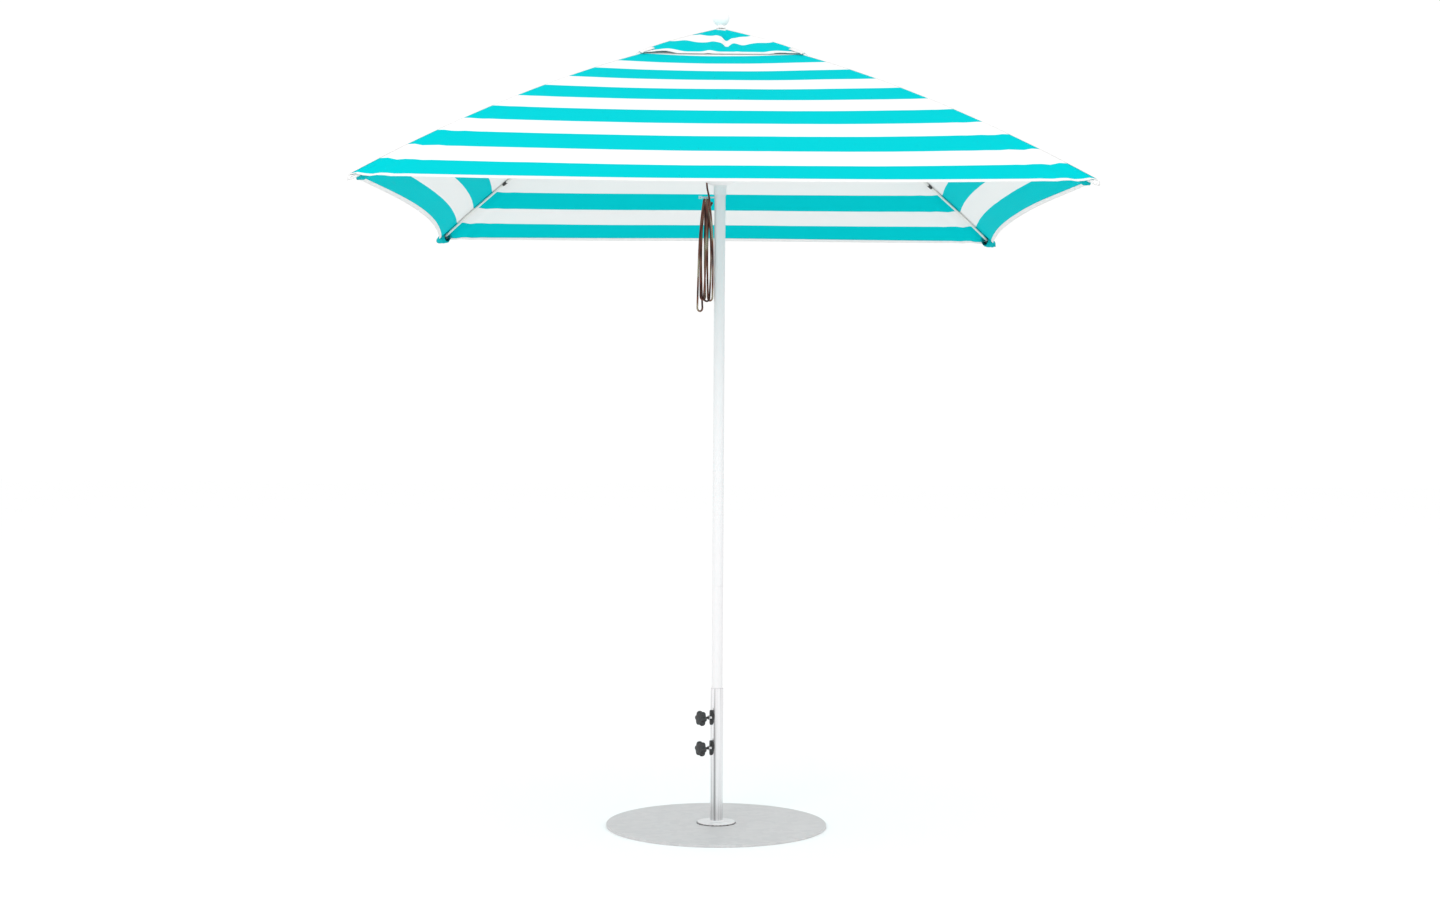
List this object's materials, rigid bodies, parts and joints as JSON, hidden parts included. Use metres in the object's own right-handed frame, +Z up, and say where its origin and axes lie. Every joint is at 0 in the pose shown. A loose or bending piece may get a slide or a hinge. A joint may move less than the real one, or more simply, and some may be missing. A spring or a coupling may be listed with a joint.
{
  "type": "beach umbrella",
  "caption": "Square striped canopy with a vent cap on folding ribs, a two-piece pole with a runner and pulley line, and a round steel base with knobs.",
  "frame": {"origin": "centre of the base plate, on its underside", "axes": "+Z up along the pole; the hems run along X and Y, the ribs along the diagonals; the front that the knobs and the rope hank face is -Y, and both sit on the -X side"},
  "size_m": [2.21, 2.21, 2.832],
  "materials": {
    "galvanised_plate": "dull zinc",
    "stem_steel": "polished tube",
    "black_plastic": "satin",
    "bright_steel": "bright",
    "black_steel": "black oxide",
    "white_plastic": "satin",
    "white_pole": "satin powder coat",
    "sleeve_metal": "mill",
    "fibreglass": "smooth",
    "white_steel": "satin powder coat",
    "canopy_cloth": "plain weave, turquoise and white stripes",
    "braided_rope": "braided"
  },
  "bodies": {
    "stand": {"base_plate": "galvanised_plate", "base_flange": "galvanised_plate", "stem_tube": "stem_steel", "insert_high": "black_plastic", "insert_low": "black_plastic"},
    "high_knob": {"knob_high": "black_plastic", "stud_high": "black_steel"},
    "low_knob": {"knob_low": "black_plastic", "stud_low": "black_steel"},
    "foot": {"foot_plug": "white_plastic"},
    "lower_mast": {"lower_pole": "white_pole", "joint_sleeve": "sleeve_metal"},
    "upper_mast": {"upper_pole": "white_pole", "hub": "white_plastic", "hub_pins": "bright_steel", "sheave_axle": "bright_steel", "finial_stud": "bright_steel", "vent_spacer": "white_plastic"},
    "top_finial": {"finial": "white_plastic"},
    "sheave": {"hub_sheave": "bright_steel"},
    "runner_body": {"runner": "white_plastic", "runner_pins": "bright_steel", "lift_line": "braided_rope", "rope_tail": "braided_rope", "rope_hank": "braided_rope"},
    "pin": {"locking_pin": "bright_steel"},
    "rib_1": {"rib_rod_1": "fibreglass", "rib_root_1": "white_plastic", "rib_bracket_1": "black_plastic", "rib_clip_1": "black_plastic", "rib_tip_1": "black_plastic", "canopy_1": "canopy_cloth", "vent_1": "canopy_cloth"},
    "strut_arm_1": {"strut_1": "white_steel"},
    "rib_2": {"rib_rod_2": "fibreglass", "rib_root_2": "white_plastic", "rib_bracket_2": "black_plastic", "rib_clip_2": "black_plastic", "rib_tip_2": "black_plastic", "canopy_2": "canopy_cloth", "vent_2": "canopy_cloth"},
    "strut_arm_2": {"strut_2": "white_steel"},
    "rib_3": {"rib_rod_3": "fibreglass", "rib_root_3": "white_plastic", "rib_bracket_3": "black_plastic", "rib_clip_3": "black_plastic", "rib_tip_3": "black_plastic", "canopy_3": "canopy_cloth", "vent_3": "canopy_cloth"},
    "strut_arm_3": {"strut_3": "white_steel"},
    "rib_4": {"rib_rod_4": "fibreglass", "rib_root_4": "white_plastic", "rib_bracket_4": "black_plastic", "rib_clip_4": "black_plastic", "rib_tip_4": "black_plastic", "canopy_4": "canopy_cloth", "vent_4": "canopy_cloth"},
    "strut_arm_4": {"strut_4": "white_steel"}
  },
  "joints": [
    {"name": "pole_lift", "type": "slide", "parent": "stand", "child": "foot", "axis": [0, 0, 1], "range_m": [0, 0.42]},
    {"name": "pole_turn", "type": "hinge", "parent": "foot", "child": "lower_mast", "pos_m": [0, 0, 0.1], "axis": [0, 0, 1], "continuous": true},
    {"name": "pole_joint", "type": "slide", "parent": "lower_mast", "child": "upper_mast", "axis": [0, 0, 1], "range_m": [0, 0.09]},
    {"name": "finial_screw", "type": "hinge", "parent": "upper_mast", "child": "top_finial", "pos_m": [0, 0, 2.8], "axis": [0, 0, 1], "range_deg": [0, 1080]},
    {"name": "runner_slide", "type": "slide", "parent": "upper_mast", "child": "runner_body", "axis": [0, 0, 1], "range_m": [-1.013, 0], "deforming": ["lift_line"]},
    {"name": "sheave_turn", "type": "hinge", "parent": "upper_mast", "child": "sheave", "pos_m": [-0.037, 0, 2.684], "axis": [0, 1, 0], "continuous": true},
    {"name": "pin_pull", "type": "slide", "parent": "runner_body", "child": "pin", "axis": [-1, 0, 0], "range_m": [0, 0.06]},
    {"name": "high_knob_turn", "type": "hinge", "parent": "stand", "child": "high_knob", "pos_m": [0, 0, 0.377], "axis": [-0.8192, -0.5736, 0], "range_deg": [0, 900]},
    {"name": "low_knob_turn", "type": "hinge", "parent": "stand", "child": "low_knob", "pos_m": [0, 0, 0.272], "axis": [-0.8192, -0.5736, 0], "range_deg": [0, 900]},
    {"name": "rib_fold_1", "type": "hinge", "parent": "upper_mast", "child": "rib_1", "pos_m": [0.03182, 0.03182, 2.723], "axis": [-0.7071, 0.7071, 0], "range_deg": [0, 66.92], "deforming": ["canopy_1", "vent_1"]},
    {"name": "strut_fold_1", "type": "hinge", "parent": "runner_body", "child": "strut_arm_1", "pos_m": [0.0297, 0.0297, 2.252], "axis": [-0.7071, 0.7071, 0], "range_deg": [-66.42, 0]},
    {"name": "rib_fold_2", "type": "hinge", "parent": "upper_mast", "child": "rib_2", "pos_m": [-0.03182, 0.03182, 2.723], "axis": [-0.7071, -0.7071, 0], "range_deg": [0, 66.92], "deforming": ["canopy_2", "vent_2"]},
    {"name": "strut_fold_2", "type": "hinge", "parent": "runner_body", "child": "strut_arm_2", "pos_m": [-0.0297, 0.0297, 2.252], "axis": [-0.7071, -0.7071, 0], "range_deg": [-66.42, 0]},
    {"name": "rib_fold_3", "type": "hinge", "parent": "upper_mast", "child": "rib_3", "pos_m": [-0.03182, -0.03182, 2.723], "axis": [0.7071, -0.7071, 0], "range_deg": [0, 66.92], "deforming": ["canopy_3", "vent_3"]},
    {"name": "strut_fold_3", "type": "hinge", "parent": "runner_body", "child": "strut_arm_3", "pos_m": [-0.0297, -0.0297, 2.252], "axis": [0.7071, -0.7071, 0], "range_deg": [-66.42, 0]},
    {"name": "rib_fold_4", "type": "hinge", "parent": "upper_mast", "child": "rib_4", "pos_m": [0.03182, -0.03182, 2.723], "axis": [0.7071, 0.7071, 0], "range_deg": [0, 66.92], "deforming": ["canopy_4", "vent_4"]},
    {"name": "strut_fold_4", "type": "hinge", "parent": "runner_body", "child": "strut_arm_4", "pos_m": [0.0297, -0.0297, 2.252], "axis": [0.7071, 0.7071, 0], "range_deg": [-66.42, 0]}
  ],
  "couplings": [
    {"joint": "sheave_turn", "follows": "runner_slide", "rad_per_m": 111.11},
    {"joint": "rib_fold_1", "follows": "runner_slide", "rad_per_m": -1.1529},
    {"joint": "strut_fold_1", "follows": "runner_slide", "rad_per_m": 1.1443},
    {"joint": "rib_fold_2", "follows": "runner_slide", "rad_per_m": -1.1529},
    {"joint": "strut_fold_2", "follows": "runner_slide", "rad_per_m": 1.1443},
    {"joint": "rib_fold_3", "follows": "runner_slide", "rad_per_m": -1.1529},
    {"joint": "strut_fold_3", "follows": "runner_slide", "rad_per_m": 1.1443},
    {"joint": "rib_fold_4", "follows": "runner_slide", "rad_per_m": -1.1529},
    {"joint": "strut_fold_4", "follows": "runner_slide", "rad_per_m": 1.1443}
  ]
}
